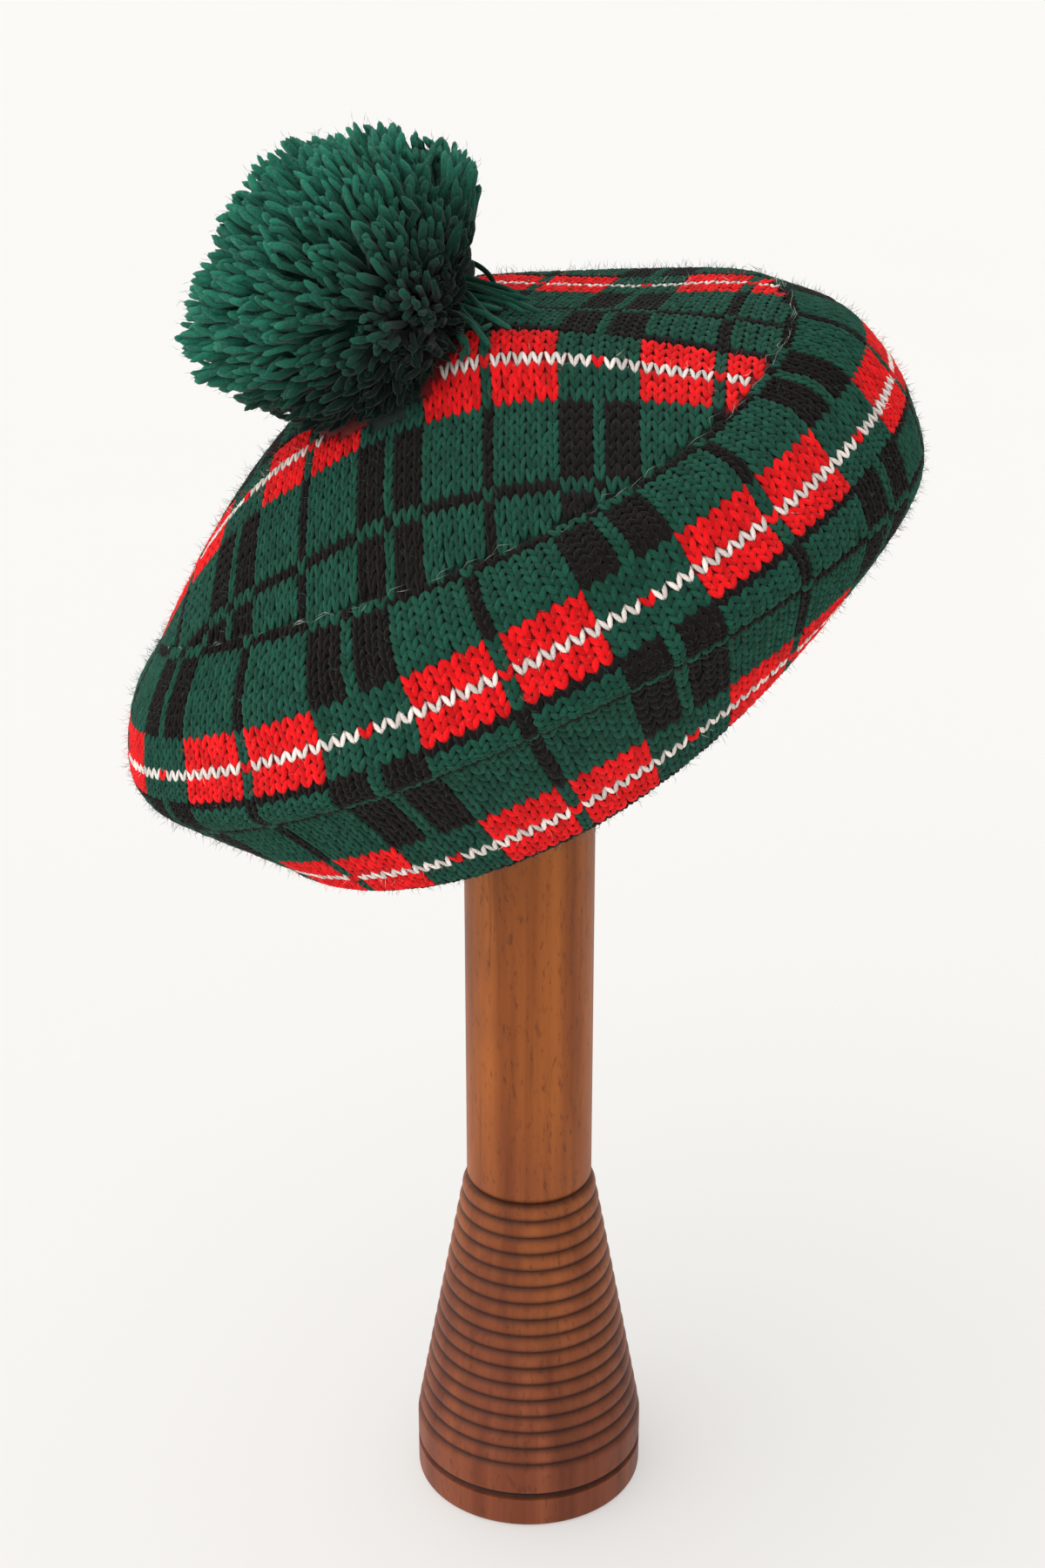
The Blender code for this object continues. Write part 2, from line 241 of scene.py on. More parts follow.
def deselect_all():
    if bpy.context.mode != "OBJECT":
        bpy.ops.object.mode_set(mode="OBJECT")
    bpy.ops.object.select_all(action="DESELECT")


def hat_axes():
    """The leaning hat's own directions: to its right, to its back, and up."""
    up = Vector((
        -math.sin(TILT_LEFT),
        math.sin(TILT_FRONT) * math.cos(TILT_LEFT),
        math.cos(TILT_FRONT) * math.cos(TILT_LEFT),
    ))
    across = Vector((0, 1, 0)).cross(up).normalized()
    return across, up.cross(across), up


def section_ring(section, angles):
    """Reach and rise of a section at each angle, in metres."""
    waves = np.stack([
        np.ones_like(angles), np.cos(angles), np.sin(angles), np.cos(2 * angles), np.sin(2 * angles),
    ])
    reach, rise = section
    return np.array(reach) @ waves * BRIM_RADIUS, np.array(rise) @ waves * BODY_DEPTH


def dome_rise(across, back):
    """Height of the crown's free dome."""
    seam_reach, seam_rise = section_ring(HAT_SECTIONS[0], np.arctan2(back, across))
    share = np.hypot(across, back) / seam_reach
    return seam_rise + (CROWN_RISE - seam_rise) * (1 - share ** CROWN_FULLNESS)


def smoothstep(value, low, high):
    share = np.clip((value - low) / (high - low), 0, 1)
    return share * share * (3 - 2 * share)


def crown_rise(across, back):
    """Height of the crown's outer face: a dome that lies flat where the post holds it up."""
    to_right, to_back, up = hat_axes()
    seat = dome_rise(np.array([POST_ACROSS]), np.array([POST_BACK]))[0]
    level = seat - ((across - POST_ACROSS) * to_right.z + (back - POST_BACK) * to_back.z) / up.z
    away = np.hypot(across - POST_ACROSS, back - POST_BACK) / SHAFT_RADIUS
    blend = smoothstep(away, SEAT_FLAT, SEAT_BLEND)
    return level + (dome_rise(across, back) - level) * blend


def hat_centre():
    """The middle of the hat, hung so that the crown rests on the post's flat top."""
    to_right, to_back, up = hat_axes()
    rise = float(crown_rise(np.array([POST_ACROSS]), np.array([POST_BACK]))[0])
    contact = Vector((0, 0, STAND_HEIGHT + CLEARANCE + CLOTH))
    return contact - POST_ACROSS * to_right - POST_BACK * to_back - rise * up


HAT_TURN = np.array(Matrix(hat_axes()))
HAT_PLACE = np.array(hat_centre())


def to_world(points):
    return points @ HAT_TURN + HAT_PLACE


def smooth_rings(rings, steps):
    """Points on a smooth curve through the rings, steps of them for each ring."""
    rings = np.asarray(rings)
    ends = np.concatenate([[2 * rings[0] - rings[1]], rings, [2 * rings[-1] - rings[-2]]])
    out = []
    for index in range(1, len(rings)):
        before, start, stop, after = ends[index - 1:index + 3]
        for step in range(steps):
            t = step / steps
            out.append(0.5 * (
                2 * start + (stop - before) * t
                + (2 * before - 5 * start + 4 * stop - after) * t ** 2
                + (3 * start - before - 3 * stop + after) * t ** 3
            ))
    out.append(rings[-1])
    return np.array(out)


def unit(vectors):
    return vectors / np.linalg.norm(vectors, axis=-1, keepdims=True)


class SidePiece:
    """The side piece's outer face, found by wale and course."""

    TURNS = 720

    def __init__(self):
        angles = np.arange(self.TURNS) * (2 * math.pi / self.TURNS)
        rings = []
        for section in HAT_SECTIONS:
            reach, rise = section_ring(section, angles)
            rings.append(np.stack([reach * np.cos(angles), reach * np.sin(angles), rise], axis=-1))
        opening = rings[-1].copy()
        opening[:, 2] += (OPENING_RISE - HAT_SECTIONS[-1][1][0]) * BODY_DEPTH
        opening[:, 0] = OPENING_RADIUS * np.cos(angles)
        opening[:, 1] = OPENING_RADIUS * np.sin(angles)
        self.rings = smooth_rings(rings + [opening], BACKING_RINGS)
        down = np.gradient(self.rings, axis=0)
        around = np.roll(self.rings, -1, axis=1) - np.roll(self.rings, 1, axis=1)
        self.normals = unit(np.cross(down, around))
        steps = np.linalg.norm(np.diff(self.rings, axis=0), axis=-1).mean(axis=1)
        arc = np.concatenate([[0], np.cumsum(steps)])
        stripe, low = STRIPE_SECTION * BACKING_RINGS, LOW_STRIPE_SECTION * BACKING_RINGS
        marks = [0, SIDE_STRIPE_COURSE + 0.5, SIDE_STRIPE_COURSE + REPEAT_COURSES + 0.5, SIDE_COURSES]
        self.courses = np.interp(arc, [0, arc[stripe], arc[low], arc[-1]], marks)

    def at(self, wale, course):
        """Points and normals, in the hat's frame, at wales and courses that need not be whole."""
        angle = SIDE_FIRST_WALE + wale * (2 * math.pi / SIDE_WALES)
        angle = angle + SIDE_TWIST * (course - SIDE_STRIPE_COURSE) / REPEAT_COURSES
        ring = np.interp(course, self.courses, np.arange(len(self.courses)))
        turn = angle / (2 * math.pi) * self.TURNS
        low_ring = np.clip(np.floor(ring).astype(int), 0, len(self.rings) - 2)
        low_turn = np.floor(turn).astype(int)
        up, on = (ring - low_ring)[..., None], (turn - low_turn)[..., None]
        first, second = low_turn % self.TURNS, (low_turn + 1) % self.TURNS
        found = []
        for grid in (self.rings, self.normals):
            near = grid[low_ring, first] * (1 - on) + grid[low_ring, second] * on
            far = grid[low_ring + 1, first] * (1 - on) + grid[low_ring + 1, second] * on
            found.append(near * (1 - up) + far * up)
        return found[0], unit(found[1])


class Crown:
    """The crown's outer face, found by wale and course of its straight knit."""

    ROW = np.array([math.cos(CROWN_ROW_TURN), math.sin(CROWN_ROW_TURN)])
    WALE = np.array([math.sin(CROWN_WALE_TURN), math.cos(CROWN_WALE_TURN)])

    def bend(self, wale):
        """How far a row lies towards the back at a wale."""
        past = CROWN_BEND_WALE - wale
        return (np.sqrt(past * past + 9) + past) / 2 * CROWN_BEND

    def flat(self, wale, course):
        length = np.where(course > 0, course * CROWN_COURSE_BACK, course * CROWN_COURSE_FRONT)
        length = (length + self.bend(wale))[..., None]
        return np.asarray(wale)[..., None] * CROWN_WALE * self.ROW + length * self.WALE + CROWN_ORIGIN

    def chart_place(self, across, back):
        """Wale and course at a place on the crown."""
        away = np.stack([across - CROWN_ORIGIN[0], back - CROWN_ORIGIN[1]], axis=-1)
        wale, length = np.moveaxis(away @ np.linalg.inv(np.array([self.ROW, self.WALE])), -1, 0)
        length = length - self.bend(wale / CROWN_WALE)
        course = np.where(length > 0, length / CROWN_COURSE_BACK, length / CROWN_COURSE_FRONT)
        return wale / CROWN_WALE, course

    def on_face(self, across, back):
        step = 0.0005
        shape = across.shape
        across, back = across.ravel(), back.ravel()
        rise = crown_rise(across, back)
        to_right = (crown_rise(across + step, back) - rise) / step
        to_back = (crown_rise(across, back + step) - rise) / step
        points = np.stack([across, back, rise], axis=-1)
        normals = unit(np.stack([-to_right, -to_back, np.ones_like(rise)], axis=-1))
        return points.reshape(*shape, 3), normals.reshape(*shape, 3)

    def at(self, wale, course):
        place = self.flat(wale, course)
        return self.on_face(place[..., 0], place[..., 1])

    def share_of_seam(self, across, back):
        """1 at the seam, less inside it."""
        seam_reach, _ = section_ring(HAT_SECTIONS[0], np.arctan2(back, across))
        return np.hypot(across, back) / seam_reach


def chart(wale, course):
    """The tartan's chart: the number of each stitch's colour."""
    from_line = np.abs((wale + REPEAT_WALES // 2) % REPEAT_WALES - REPEAT_WALES // 2)
    thin_black, wide_green = from_line == 0, (from_line >= 1) & (from_line <= 6)
    wide_black, thin_green = (from_line >= 7) & (from_line <= 9), from_line == 10
    row = course % REPEAT_COURSES
    line, stripe = row == 0, (row <= 3) | (row >= 18)
    thin_row, edge_row = row == 10, row == 4
    colour = np.where(thin_black | wide_black, IS_BLACK, IS_GREEN)
    colour = np.where(thin_row, np.where(wide_green | thin_green, IS_BLACK, IS_GREEN), colour)
    colour = np.where(edge_row & wide_green, IS_BLACK, colour)
    colour = np.where(stripe, np.where(wide_green, IS_RED, IS_GREEN), colour)
    return np.where(line, np.where(thin_black | thin_green, IS_RED, IS_WHITE), colour)


def draw_strand(sides, knots):
    """A closed strand through knots of place and radius, whose ends are points: a cone, and then
    one extrusion to each knot. Returns its points and triangles."""
    start, radius = Vector(knots[1][0]), knots[1][1]
    deselect_all()
    bpy.ops.mesh.primitive_cone_add(
        vertices=sides, radius1=radius, radius2=0, depth=1,
        location=start - Vector((0, 0.5, 0)), rotation=(math.pi / 2, 0, 0),
    )
    strand = bpy.context.object
    bpy.ops.object.transform_apply(location=True, rotation=True, scale=True)
    min(strand.data.vertices, key=lambda vertex: vertex.co.y).co = knots[0][0]
    at_base = [abs(vertex.co.y - start.y) < 1e-4 for vertex in strand.data.vertices]
    for face in strand.data.polygons:
        face.select = all(at_base[index] for index in face.vertices)
    for edge in strand.data.edges:
        edge.select = all(at_base[index] for index in edge.vertices)
    for vertex, chosen in zip(strand.data.vertices, at_base):
        vertex.select = chosen
    bpy.ops.object.mode_set(mode="EDIT")
    bpy.ops.mesh.select_mode(type="FACE")
    here = start
    for place, width in knots[2:]:
        there = Vector(place)
        bpy.ops.mesh.extrude_region_move(TRANSFORM_OT_translate={"value": there - here})
        if width:
            share = width / radius
            bpy.ops.transform.resize(value=(share, share, share), center_override=there)
            radius = width
        else:
            bpy.ops.mesh.merge(type="CENTER")
        here = there
    bpy.ops.mesh.select_all(action="SELECT")
    bpy.ops.mesh.quads_convert_to_tris()
    bpy.ops.object.mode_set(mode="OBJECT")
    points = np.array([vertex.co for vertex in strand.data.vertices])
    triangles = np.array([face.vertices for face in strand.data.polygons])
    bpy.data.objects.remove(strand, do_unlink=True)
    return points, triangles


def mesh_of_copies(name, points, triangles, **marks):
    """One mesh of many copies: points is copies by points by 3, and each mark is a number for
    every point of every copy."""
    copies, count = points.shape[:2]
    faces = (triangles[None] + (np.arange(copies) * count)[:, None, None]).reshape(-1, 3)
    mesh = bpy.data.meshes.new(name)
    mesh.vertices.add(copies * count)
    mesh.vertices.foreach_set("co", points.astype(np.float32).ravel())
    mesh.loops.add(faces.size)
    mesh.loops.foreach_set("vertex_index", faces.astype(np.int32).ravel())
    mesh.polygons.add(len(faces))
    mesh.polygons.foreach_set("loop_start", np.arange(0, faces.size, 3, dtype=np.int32))
    mesh.update(calc_edges=True)
    mesh.shade_smooth()
    for mark, values in marks.items():
        attribute = mesh.attributes.new(mark, "FLOAT", "POINT")
        spread = np.broadcast_to(values, (copies, count)).astype(np.float32)
        attribute.data.foreach_set("value", spread.ravel())
    piece = bpy.data.objects.new(name, mesh)
    bpy.context.scene.collection.objects.link(piece)
    return piece


# Materials


class Finish:
    """A material's nodes, joined by short calls."""

    def __init__(self, name, roughness=0.9, sheen=0.0, specular=0.1):
        self.material = bpy.data.materials.new(name)
        self.material.use_nodes = True
        self.nodes = self.material.node_tree.nodes
        self.links = self.material.node_tree.links
        self.shader = self.nodes["Principled BSDF"]
        self.shader.inputs["Roughness"].default_value = roughness
        self.shader.inputs["Specular IOR Level"].default_value = specular
        self.shader.inputs["Sheen Weight"].default_value = sheen
        self.shader.inputs["Sheen Roughness"].default_value = 0.5

    def put(self, socket, value):
        if isinstance(value, bpy.types.NodeSocket):
            self.links.new(value, socket)
        else:
            socket.default_value = (*value, 1.0) if socket.type == "RGBA" else value

    def place(self, scale=(1, 1, 1)):
        where = self.nodes.new("ShaderNodeTexCoord").outputs["Object"]
        mapping = self.nodes.new("ShaderNodeMapping")
        mapping.inputs["Scale"].default_value = scale
        self.links.new(where, mapping.inputs["Vector"])
        return mapping.outputs["Vector"]

    def noise(self, place, scale, detail=2.0, roughness=0.5):
        node = self.nodes.new("ShaderNodeTexNoise")
        self.links.new(place, node.inputs["Vector"])
        node.inputs["Scale"].default_value = scale
        node.inputs["Detail"].default_value = detail
        node.inputs["Roughness"].default_value = roughness
        return node.outputs["Fac"]

    def mark(self, name, output="Fac"):
        node = self.nodes.new("ShaderNodeAttribute")
        node.attribute_name = name
        return node.outputs[output]

    def spread(self, value, low, high, to_low=0.0, to_high=1.0):
        node = self.nodes.new("ShaderNodeMapRange")
        self.put(node.inputs["Value"], value)
        node.inputs["From Min"].default_value = low
        node.inputs["From Max"].default_value = high
        node.inputs["To Min"].default_value = to_low
        node.inputs["To Max"].default_value = to_high
        return node.outputs["Result"]

    def combine(self, first, second, operation="ADD"):
        node = self.nodes.new("ShaderNodeMath")
        node.operation = operation
        self.put(node.inputs[0], first)
        self.put(node.inputs[1], second)
        return node.outputs["Value"]

    def blend(self, share, first, second, way="MIX"):
        node = self.nodes.new("ShaderNodeMix")
        node.data_type = "RGBA"
        node.blend_type = way
        self.put(node.inputs["Factor"], share)
        self.put(node.inputs[6], first)
        self.put(node.inputs[7], second)
        return node.outputs[2]

    def colour(self, value):
        self.put(self.shader.inputs["Base Color"], value)

    def bump(self, height, strength, distance):
        node = self.nodes.new("ShaderNodeBump")
        node.inputs["Strength"].default_value = strength
        node.inputs["Distance"].default_value = distance
        self.links.new(height, node.inputs["Height"])
        self.links.new(node.outputs["Normal"], self.shader.inputs["Normal"])


def shade(colour, share):
    return tuple(channel * share for channel in colour)


def yarn_finish(name, colour, fleck, dark=0.5, sheen=0.06, low=0.0, high=1.0, fineness=2600):
    """Soft acrylic yarn: fibres, a few flecks of another tone, and painted shade where a strand dips.
    """
    finish = Finish(name, roughness=0.95, sheen=sheen)
    place = finish.place()
    fibres = finish.noise(place, fineness, detail=3.0, roughness=0.65)
    tone = finish.combine(finish.mark("tone"), finish.spread(fibres, 0.3, 0.7, -0.5, 0.5))
    own = finish.blend(finish.spread(tone, 0.0, 1.0), shade(colour, 0.66), shade(colour, 1.20))
    flecks = finish.spread(finish.noise(place, 900, detail=2.0), 0.62, 0.70)
    own = finish.blend(finish.combine(flecks, 0.5, "MULTIPLY"), own, fleck)
    # painted shade: where the height mark is low, the colour is darkened to its dark share; a piece
    # without the mark is darkened so all over
    dip = finish.spread(finish.mark("height"), low, high)
    finish.colour(finish.blend(dip, shade(colour, dark), own))
    finish.bump(fibres, 0.6, 1.0 / fineness)
    return finish.material


def fuzz_finish(name, colour):
    """Single loose fibres, each a little lighter or darker."""
    finish = Finish(name)
    finish.colour(finish.blend(finish.mark("tone"), shade(colour, 0.6), shade(colour, 1.4)))
    return finish.material


def wood_finish():
    """Waxed, handled hardwood: pores, flecks, blotches, one dark streak, a redder foot, painted
    groove shade.
    """
    finish = Finish("turned_wood", roughness=0.46, specular=0.17)
    grain_place = finish.place((1, 1, 0.035))
    grain = finish.noise(grain_place, 260, detail=4.0, roughness=0.6)
    streaks = finish.noise(grain_place, 90, detail=3.0, roughness=0.55)
    blotches = finish.noise(finish.place((1, 1, 0.35)), 26, detail=3.0, roughness=0.6)
    split = finish.nodes.new("ShaderNodeSeparateXYZ")
    finish.links.new(finish.place(), split.inputs[0])
    height = finish.combine(split.outputs["Z"], finish.spread(blotches, 0.3, 0.7, -0.035, 0.035))
    streak = finish.spread(streaks, 0.34, 0.68)
    shaft, foot = finish.blend(streak, *SHAFT_WOOD), finish.blend(streak, *FOOT_WOOD)
    body = finish.blend(finish.spread(height, 0.05, 0.17), foot, shaft)
    aside = finish.combine(split.outputs["X"], finish.spread(blotches, 0.3, 0.7, -0.003, 0.003))
    beside = finish.combine(finish.combine(aside, STREAK_ACROSS, "SUBTRACT"), 0.0, "ABSOLUTE")
    dark_streak = finish.spread(beside, 0.0, 0.0045, 0.55, 0.0)
    facing = finish.spread(split.outputs["Y"], -0.006, 0.0, 1.0, 0.0)
    dark_streak = finish.combine(dark_streak, facing, "MULTIPLY")
    dark_streak = finish.combine(dark_streak, finish.spread(height, 0.12, 0.16), "MULTIPLY")
    body = finish.blend(dark_streak, body, STREAK_WOOD)
    flecks = finish.noise(finish.place((1, 1, 0.3)), 520, detail=4.0, roughness=0.7)
    body = finish.blend(finish.spread(flecks, 0.55, 0.68, 0.0, 0.55), body, FLECK_WOOD)
    body = finish.blend(finish.spread(grain, 0.60, 0.72, 0.0, 0.45), body, PORE_WOOD)
    body = finish.blend(finish.spread(blotches, 0.52, 0.68, 0.0, 0.45), body, BLOTCH_WOOD)
    # painted shade: the grooves' hollows are coloured nearly black
    finish.colour(finish.blend(finish.mark("hollow"), body, GROOVE_SHADE))
    finish.bump(finish.combine(grain, streaks), 0.25, 0.0004)
    return finish.material


def backing_finish():
    """The knit's back, seen between stitches and inside the hat: chart colours darkened as painted
    shade.
    """
    finish = Finish("knit_back", roughness=0.95, sheen=0.2, specular=0.2)
    fibres = finish.noise(finish.place(), 1500, detail=3.0, roughness=0.6)
    colour = finish.mark("shaded_chart", "Color")
    shaded = finish.blend(1.0, colour, (0.5, 0.5, 0.5), "MULTIPLY")
    finish.colour(finish.blend(finish.spread(fibres, 0.35, 0.65), colour, shaded))
    finish.bump(fibres, 0.6, 0.0008)
    return finish.material


def paper_finish():
    """Pale paper with a faint glow of its own, so that shadows on it stay light."""
    finish = Finish("pale_paper")
    tone = finish.noise(finish.place(), 3.0)
    finish.colour(finish.blend(finish.spread(tone, 0.3, 0.7), shade(FLOOR, 0.99), FLOOR))
    finish.put(finish.shader.inputs["Emission Color"], FLOOR_TINT)
    finish.put(finish.shader.inputs["Emission Strength"], FLOOR_GLOW)
    return finish.material


# Knit


def leg_pattern(sides=LEG_SIDES, width=1.0):
    """One leg of a stitch. X is in wales, Y in courses and Z in thicknesses of the yarn."""
    flat = [((x, y, z * 0.25), radius * width) for (x, y, z), radius in LEG_KNOTS]
    points, triangles = draw_strand(sides, flat)
    points[:, 2] /= 0.25
    return points, triangles


def lay_stitches(name, surface, wales, courses, tips_down, leg, finish, seed):
    """Both legs of each stitch, laid on the surface."""
    points, triangles = leg
    rng = np.random.default_rng(seed)
    count = len(wales)
    shapes, tones, heights = [], [], []
    nudge = rng.normal(0, 0.035, (count, 2))
    lift = rng.normal(0, 0.12, count)
    for side in (-1, 1):
        width = 1 + rng.normal(0, 0.05, count)
        x = points[None, :, 0] * width[:, None] * side + nudge[:, :1]
        y = points[None, :, 1] + nudge[:, 1:] + rng.normal(0, 0.02, (count, 1))
        wale = wales[:, None] + x
        course = courses[:, None] + (-y if tips_down else y)
        place, normal = surface.at(wale, course)
        height = (points[None, :, 2] + lift[:, None]) * LEG_THICKNESS + LEG_LIFT
        shapes.append(place + normal * height[..., None])
        tones.append(np.broadcast_to(rng.random((count, 1)), x.shape))
        # the height mark sets painted shade: the parts of each leg that lie lower are coloured darker
        heights.append(np.broadcast_to((points[None, :, 2] + 0.9) / 1.5, x.shape))
    mirrored = triangles[:, ::-1]
    first, second = (triangles, mirrored) if tips_down else (mirrored, triangles)
    both = np.concatenate([first, second + len(points)])
    piece = mesh_of_copies(
        name, to_world(np.concatenate(shapes, axis=1)), both,
        tone=np.concatenate(tones, axis=1), height=np.concatenate(heights, axis=1),
    )
    piece.data.materials.append(finish)
    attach(piece, "root")
    return piece


def give_wall(cloth, thickness, inside_out, even):
    """Turns a bent sheet's faces outwards, joins it where it meets itself, and thickens it."""
    bpy.ops.object.mode_set(mode="EDIT")
    bpy.ops.mesh.select_all(action="SELECT")
    if inside_out:
        bpy.ops.mesh.flip_normals()
    bpy.ops.mesh.remove_doubles(threshold=0.00001)
    bpy.ops.object.mode_set(mode="OBJECT")
    wall = cloth.modifiers.new("wall", "SOLIDIFY")
    wall.thickness = thickness
    wall.offset = -1
    wall.use_even_offset = even
    bpy.ops.object.modifier_apply(modifier="wall")
    bpy.ops.object.shade_smooth_by_angle(angle=math.radians(60))


def knit_backing(name, node, columns, rows, place_of, colour_of, finish):
    """The cloth behind the stitches: a grid bent to the hat's form and given its thickness."""
    deselect_all()
    bpy.ops.mesh.primitive_grid_add(x_subdivisions=columns, y_subdivisions=rows, size=1)
    cloth = bpy.context.object
    cloth.name = name
    flat = np.array([vertex.co for vertex in cloth.data.vertices]) + 0.5
    points, normals = place_of(flat[:, 0], flat[:, 1])
    colours = colour_of(flat[:, 0], flat[:, 1])
    bent = to_world(points - normals * BACKING_DEPTH)
    cloth.data.vertices.foreach_set("co", bent.astype(np.float32).ravel())
    shaded_chart = cloth.data.attributes.new("shaded_chart", "FLOAT_COLOR", "POINT")
    opaque = np.hstack([colours, np.ones((len(colours), 1))]).astype(np.float32)
    shaded_chart.data.foreach_set("color", opaque.ravel())
    cloth.data.update()
    face = cloth.data.polygons[len(cloth.data.polygons) // 2]
    outward = Vector((normals @ HAT_TURN)[face.vertices[0]])
    give_wall(cloth, CLOTH - BACKING_DEPTH, face.normal.dot(outward) < 0, even=True)
    cloth.data.materials.append(finish)
    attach(cloth, "root")
    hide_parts(node)
    return cloth


def backing_colours(wale, course):
    """Chart colour behind each stitch, darkened as painted shade; behind the white line, the next
    row's.
    """
    wale, course = np.round(wale), np.round(course)
    behind = np.where(course % REPEAT_COURSES == 0, course + 1, course)
    return np.array(KNIT_COLOURS)[chart(wale, behind)] * BACKING_SHADE


def side_stitches():
    """Wale and course of each stitch of the side piece, and its colour."""
    grid = np.meshgrid(np.arange(SIDE_WALES), np.arange(SIDE_COURSES))
    wales, courses = grid[0].ravel(), grid[1].ravel()
    return wales, courses + 0.5, chart(wales, courses - SIDE_STRIPE_COURSE)


def crown_stitches(crown):
    """The same for the crown, out to its seam and not under the pompom."""
    grid = np.meshgrid(np.arange(*CROWN_WALES), np.arange(*CROWN_COURSES))
    wales, courses = grid[0].ravel(), grid[1].ravel()
    place = crown.flat(wales, courses)
    hidden = np.hypot(place[:, 0] - POMPOM_ACROSS, place[:, 1] - POMPOM_BACK) < HIDDEN_REACH
    inside = (crown.share_of_seam(place[:, 0], place[:, 1]) < CROWN_EDGE) & ~hidden
    wales, courses = wales[inside], courses[inside]
    return wales, courses * 1.0, chart(wales, courses)


def make_stitches(side, crown):
    green = yarn_finish("green_yarn", GREEN, GREEN_FLECK)
    black = yarn_finish("black_yarn", BLACK, BLACK_FLECK)
    red = yarn_finish("red_yarn", RED, RED_FLECK, dark=0.36)
    white = yarn_finish("white_yarn", WHITE, WHITE_FLECK)
    leg, dark_leg = leg_pattern(), leg_pattern(sides=DARK_LEG_SIDES)
    slim_leg = leg_pattern(width=WHITE_LEG_WIDTH)
    wales, courses, colours = side_stitches()
    upper = courses < SIDE_COURSES / 2
    on_side = []
    for name, chosen, shape, finish in (
        ("side_upper_green_stitches", (colours == IS_GREEN) & upper, leg, green),
        ("side_lower_green_stitches", (colours == IS_GREEN) & ~upper, dark_leg, green),
        ("side_black_stitches", colours == IS_BLACK, dark_leg, black),
        ("side_red_stitches", colours == IS_RED, leg, red),
        ("side_white_stitches", colours == IS_WHITE, slim_leg, white),
    ):
        on_side.append(lay_stitches(
            name, side, wales[chosen], courses[chosen], True, shape, finish, 10 + len(on_side),
        ))
    wales, courses, colours = crown_stitches(crown)
    on_crown = []
    for name, chosen, shape, finish in (
        ("crown_green_stitches", colours == IS_GREEN, leg, green),
        ("crown_black_stitches", colours == IS_BLACK, dark_leg, black),
        ("crown_red_stitches", colours == IS_RED, leg, red),
        ("crown_white_stitches", colours == IS_WHITE, slim_leg, white),
    ):
        on_crown.append(lay_stitches(
            name, crown, wales[chosen], courses[chosen], False, shape, finish, 20 + len(on_crown),
        ))
    return on_side, on_crown


def make_cloth(side, crown):
    """The knit's own body, in two pieces as it was sewn."""
    back = backing_finish()
    side_cloth = knit_backing(
        "side_backing", "side_piece", *SIDE_GRID,
        lambda x, y: side.at(x * SIDE_WALES, y * SIDE_COURSES),
        lambda x, y: backing_colours(x * SIDE_WALES, y * SIDE_COURSES - 0.5 - SIDE_STRIPE_COURSE),
        back,
    )

    def crown_polar(x, y):
        angles = x * 2 * math.pi
        reach = section_ring(HAT_SECTIONS[0], angles)[0] * y * 0.998
        return reach * np.cos(angles), reach * np.sin(angles)

    crown_cloth = knit_backing(
        "crown_backing", "crown", *CROWN_GRID,
        lambda x, y: crown.on_face(*crown_polar(x, y)),
        lambda x, y: backing_colours(*crown.chart_place(*crown_polar(x, y))),
        back,
    )
    return side_cloth, crown_cloth


# Fuzz


def lay_hairs(name, roots, directions, lengths, radius, finish, seed):
    """Single fibres, a little bent, from roots in the hat's frame."""
    points, triangles = draw_strand(3, [((0, 0, 0), 0.0), ((0, 0.45, 0), 1.0), ((0, 1, 0), 0.0)])
    rng = np.random.default_rng(seed)
    count = len(roots)
    along = unit(directions)
    aside = unit(np.cross(along, rng.normal(0, 1, (count, 3))))
    around = np.cross(along, aside)
    bend = 4 * points[:, 1] * (1 - points[:, 1]) * rng.normal(0, 0.16, (count, 1)) * lengths[:, None]
    far = along[:, None] * (points[None, :, 1] * lengths[:, None])[..., None]
    wide = aside[:, None] * (points[None, :, 0] * radius + bend)[..., None]
    high = around[:, None] * (points[None, :, 2] * radius * np.ones((count, 1)))[..., None]
    placed = to_world(roots[:, None] + far + wide + high)
    piece = mesh_of_copies(name, placed, triangles, tone=rng.random((count, 1)))
    piece.data.materials.append(finish)
    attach(piece, "root")


def make_fuzz(side, crown):
    """Loose fibres standing off the knit, in the colour of the yarn that they come from."""
    rng = np.random.default_rng(31)
    roots, fibres, owners = [], [], []
    for surface, stitches in ((side, side_stitches()), (crown, crown_stitches(crown))):
        wales, courses, colours = stitches
        chosen = rng.integers(0, len(wales), round(len(wales) * HAIRS_PER_STITCH))
        off = rng.uniform(-0.5, 0.5, (2, len(chosen)))
        place, normal = surface.at(wales[chosen] + off[0], courses[chosen] + off[1])
        raised = normal * rng.uniform(0.1, 1.0, (len(chosen), 1))
        fibre = unit(raised + rng.normal(0, 0.5, place.shape))
        low = np.maximum(0.1 - np.sum(fibre * normal, axis=1), 0)[:, None]
        roots.append(place - normal * 0.0002)
        fibres.append(fibre + low * normal)
        owners.append(colours[chosen])
    roots, fibres, owners = np.concatenate(roots), np.concatenate(fibres), np.concatenate(owners)
    shortest, longest = HAIR_LENGTHS
    lengths = shortest + (longest - shortest) * rng.random(len(roots)) ** 1.8
    for index, (name, colour) in enumerate(KNIT_FUZZ):
        chosen = owners == index
        lay_hairs(
            name, roots[chosen], fibres[chosen], lengths[chosen], HAIR_RADIUS,
            fuzz_finish(f"{name}_fibre", colour), 40 + index,
        )


